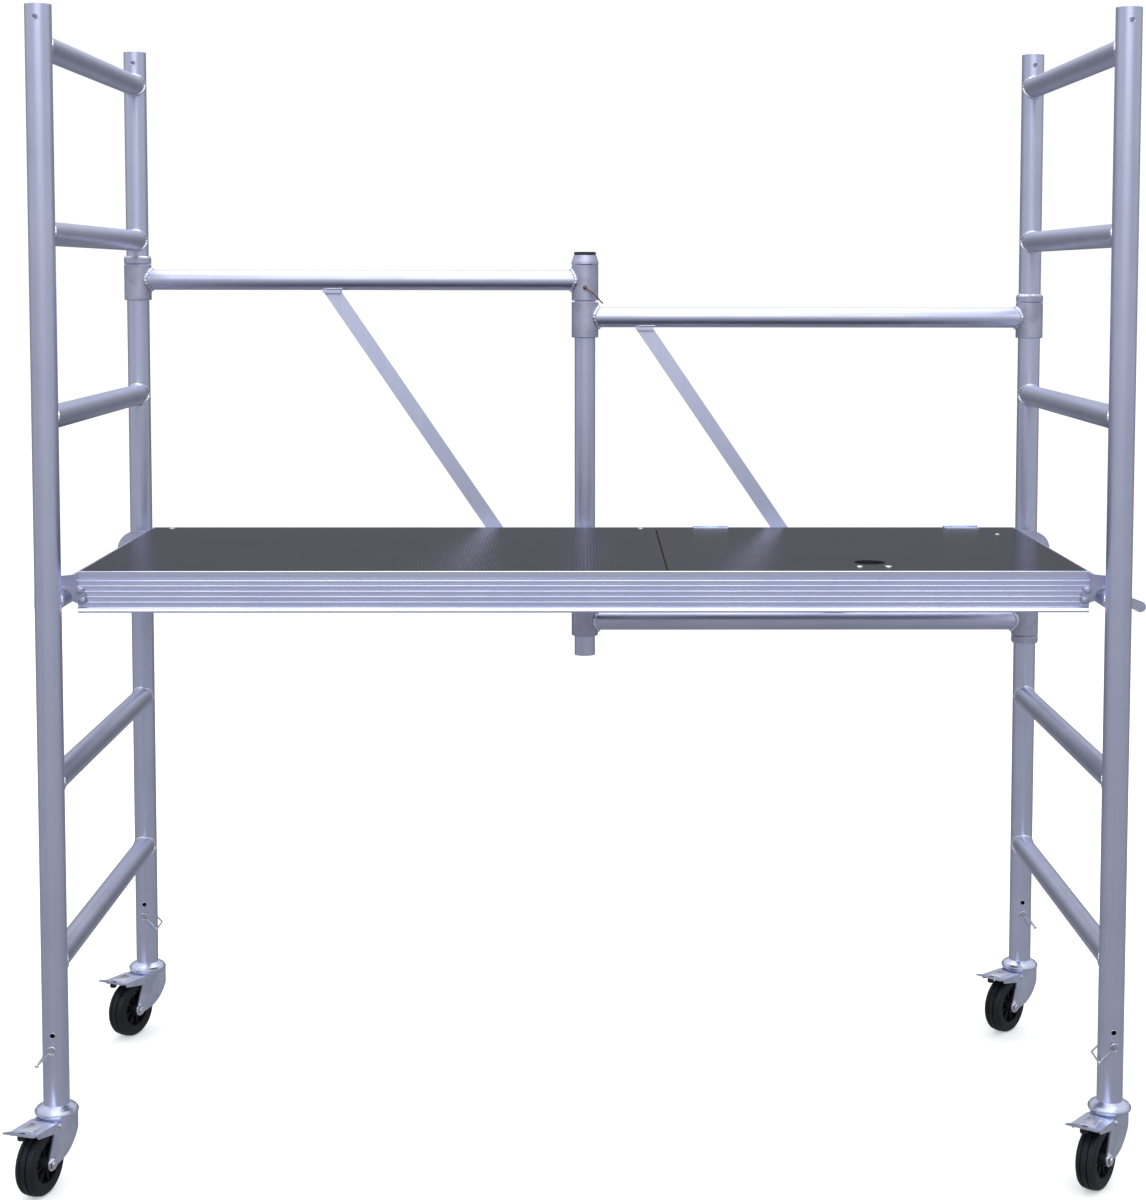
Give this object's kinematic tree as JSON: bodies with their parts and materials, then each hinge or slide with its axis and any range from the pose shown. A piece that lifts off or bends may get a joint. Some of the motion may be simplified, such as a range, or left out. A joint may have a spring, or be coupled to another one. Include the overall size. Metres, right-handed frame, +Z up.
{
  "type": "baker scaffold",
  "caption": "Folding aluminium room scaffold: two ladder frames on braked casters, a hinged rear gate and a hook-on platform with a hatch.",
  "frame": {"origin": "on the floor, under the middle of the whole object's box", "axes": "+Z up, +X along the platform to the end with the hatch, +Y from the open front to the folding gate at the rear"},
  "size_m": [1.7603, 0.8458, 1.805],
  "materials": {
    "aluminium_tube": "satin",
    "aluminium_extrusion": "satin",
    "aluminium_casting": "matte",
    "zinc_steel": "satin",
    "phenolic_board": "matte",
    "black_rubber": "matte",
    "grey_plastic": "satin"
  },
  "bodies": {
    "left_frame": {"left_front_post": "aluminium_tube", "left_rear_post": "aluminium_tube", "left_rungs": "aluminium_tube", "left_stop_rings": "aluminium_casting", "front_left_stem": "zinc_steel", "rear_left_stem": "zinc_steel"},
    "left_gate": {"left_gate_upper_tube": "aluminium_tube", "left_gate_lower_tube": "aluminium_tube", "left_gate_brace": "aluminium_tube", "left_gate_sleeves": "aluminium_casting", "centre_post": "aluminium_tube", "centre_collar": "aluminium_casting", "centre_plug": "grey_plastic", "gate_clip": "zinc_steel"},
    "right_gate": {"right_gate_upper_tube": "aluminium_tube", "right_gate_lower_tube": "aluminium_tube", "right_gate_brace": "aluminium_tube", "right_gate_sleeves": "aluminium_casting"},
    "right_frame": {"right_front_post": "aluminium_tube", "right_rear_post": "aluminium_tube", "right_rungs": "aluminium_tube", "right_stop_rings": "aluminium_casting", "front_right_stem": "zinc_steel", "rear_right_stem": "zinc_steel"},
    "platform": {"deck_front_rail": "aluminium_extrusion", "deck_rear_rail": "aluminium_extrusion", "deck_cross_beams": "aluminium_extrusion", "deck_board": "phenolic_board", "deck_claws": "aluminium_casting", "deck_claw_rivets": "zinc_steel", "deck_hinge_leaves": "zinc_steel", "deck_hinge_pins": "zinc_steel"},
    "hatch": {"hatch_board": "phenolic_board", "hatch_hinge_leaves": "zinc_steel", "hatch_latch": "zinc_steel"},
    "wind_catch": {"wind_catch": "zinc_steel"},
    "front_left_caster": {"front_left_fork": "zinc_steel", "front_left_bolts": "zinc_steel"},
    "front_left_wheel": {"front_left_hub": "grey_plastic", "front_left_tyre": "black_rubber"},
    "front_left_brake": {"front_left_pedal": "zinc_steel"},
    "front_left_pin": {"front_left_lock_pin": "zinc_steel"},
    "front_right_caster": {"front_right_fork": "zinc_steel", "front_right_bolts": "zinc_steel"},
    "front_right_wheel": {"front_right_hub": "grey_plastic", "front_right_tyre": "black_rubber"},
    "front_right_brake": {"front_right_pedal": "zinc_steel"},
    "front_right_pin": {"front_right_lock_pin": "zinc_steel"},
    "rear_left_caster": {"rear_left_fork": "zinc_steel", "rear_left_bolts": "zinc_steel"},
    "rear_left_wheel": {"rear_left_hub": "grey_plastic", "rear_left_tyre": "black_rubber"},
    "rear_left_brake": {"rear_left_pedal": "zinc_steel"},
    "rear_left_pin": {"rear_left_lock_pin": "zinc_steel"},
    "rear_right_caster": {"rear_right_fork": "zinc_steel", "rear_right_bolts": "zinc_steel"},
    "rear_right_wheel": {"rear_right_hub": "grey_plastic", "rear_right_tyre": "black_rubber"},
    "rear_right_brake": {"rear_right_pedal": "zinc_steel"},
    "rear_right_pin": {"rear_right_lock_pin": "zinc_steel"}
  },
  "joints": [
    {"name": "fold", "type": "hinge", "parent": "left_frame", "child": "left_gate", "pos_m": [-0.809, 0.389, 0.905], "axis": [0, 0, 1], "range_deg": [0, 82]},
    {"name": "centre_hinge", "type": "hinge", "parent": "left_gate", "child": "right_gate", "pos_m": [0.008, 0.389, 0.905], "axis": [0, 0, 1], "range_deg": [-164, 0]},
    {"name": "right_hinge", "type": "hinge", "parent": "right_gate", "child": "right_frame", "pos_m": [0.825, 0.389, 0.905], "axis": [0, 0, 1], "range_deg": [0, 82]},
    {"name": "platform_tilt", "type": "hinge", "parent": "left_frame", "child": "platform", "pos_m": [-0.809, 0.039, 0.905], "axis": [0, -1, 0], "range_deg": [0, 16.4]},
    {"name": "hatch_lid", "type": "hinge", "parent": "platform", "child": "hatch", "pos_m": [0.4645, 0.3324, 0.94805], "axis": [1, 0, 0], "range_deg": [-95, 0]},
    {"name": "wind_catch_turn", "type": "hinge", "parent": "platform", "child": "wind_catch", "pos_m": [0.8518, -0.264, 0.899], "axis": [0, 1, 0], "range_deg": [0, 86]},
    {"name": "front_left_swivel", "type": "hinge", "parent": "left_frame", "child": "front_left_caster", "pos_m": [-0.809, -0.311, 0.111], "axis": [0, 0, 1], "continuous": true},
    {"name": "front_left_roll", "type": "hinge", "parent": "front_left_caster", "child": "front_left_wheel", "pos_m": [-0.82445, -0.35855, 0.05], "axis": [0.9511, -0.309, 0], "continuous": true},
    {"name": "front_left_brake_pedal", "type": "hinge", "parent": "front_left_caster", "child": "front_left_brake", "pos_m": [-0.81765, -0.33763, 0.101], "axis": [0.9511, -0.309, 0], "range_deg": [0, 8]},
    {"name": "front_left_snap_bail", "type": "hinge", "parent": "left_frame", "child": "front_left_pin", "pos_m": [-0.809, -0.311, 0.215], "axis": [0, 1, 0], "range_deg": [0, 80]},
    {"name": "front_right_swivel", "type": "hinge", "parent": "right_frame", "child": "front_right_caster", "pos_m": [0.825, -0.311, 0.111], "axis": [0, 0, 1], "continuous": true},
    {"name": "front_right_roll", "type": "hinge", "parent": "front_right_caster", "child": "front_right_wheel", "pos_m": [0.79561, -0.35145, 0.05], "axis": [0.809, -0.5878, 0], "continuous": true},
    {"name": "front_right_brake_pedal", "type": "hinge", "parent": "front_right_caster", "child": "front_right_brake", "pos_m": [0.80854, -0.33365, 0.101], "axis": [0.809, -0.5878, 0], "range_deg": [0, 8]},
    {"name": "front_right_snap_bail", "type": "hinge", "parent": "right_frame", "child": "front_right_pin", "pos_m": [0.825, -0.311, 0.215], "axis": [0, 1, 0], "range_deg": [0, 80]},
    {"name": "rear_left_swivel", "type": "hinge", "parent": "left_frame", "child": "rear_left_caster", "pos_m": [-0.809, 0.389, 0.111], "axis": [0, 0, 1], "continuous": true},
    {"name": "rear_left_roll", "type": "hinge", "parent": "rear_left_caster", "child": "rear_left_wheel", "pos_m": [-0.8317, 0.34445, 0.05], "axis": [0.891, -0.454, 0], "continuous": true},
    {"name": "rear_left_brake_pedal", "type": "hinge", "parent": "rear_left_caster", "child": "rear_left_brake", "pos_m": [-0.82171, 0.36405, 0.101], "axis": [0.891, -0.454, 0], "range_deg": [0, 8]},
    {"name": "rear_left_snap_bail", "type": "hinge", "parent": "left_frame", "child": "rear_left_pin", "pos_m": [-0.809, 0.389, 0.215], "axis": [0, -1, 0], "range_deg": [0, 80]},
    {"name": "rear_right_swivel", "type": "hinge", "parent": "right_frame", "child": "rear_right_caster", "pos_m": [0.825, 0.389, 0.111], "axis": [0, 0, 1], "continuous": true},
    {"name": "rear_right_roll", "type": "hinge", "parent": "rear_right_caster", "child": "rear_right_wheel", "pos_m": [0.7909, 0.35243, 0.05], "axis": [0.7314, -0.682, 0], "continuous": true},
    {"name": "rear_right_brake_pedal", "type": "hinge", "parent": "rear_right_caster", "child": "rear_right_brake", "pos_m": [0.8059, 0.36852, 0.101], "axis": [0.7314, -0.682, 0], "range_deg": [0, 8]},
    {"name": "rear_right_snap_bail", "type": "hinge", "parent": "right_frame", "child": "rear_right_pin", "pos_m": [0.825, 0.389, 0.215], "axis": [0, -1, 0], "range_deg": [0, 80]}
  ],
  "couplings": [
    {"joint": "centre_hinge", "follows": "fold", "ratio": -2},
    {"joint": "right_hinge", "follows": "fold", "ratio": 1},
    {"joint": "platform_tilt", "follows": "fold", "ratio": 0.2}
  ]
}
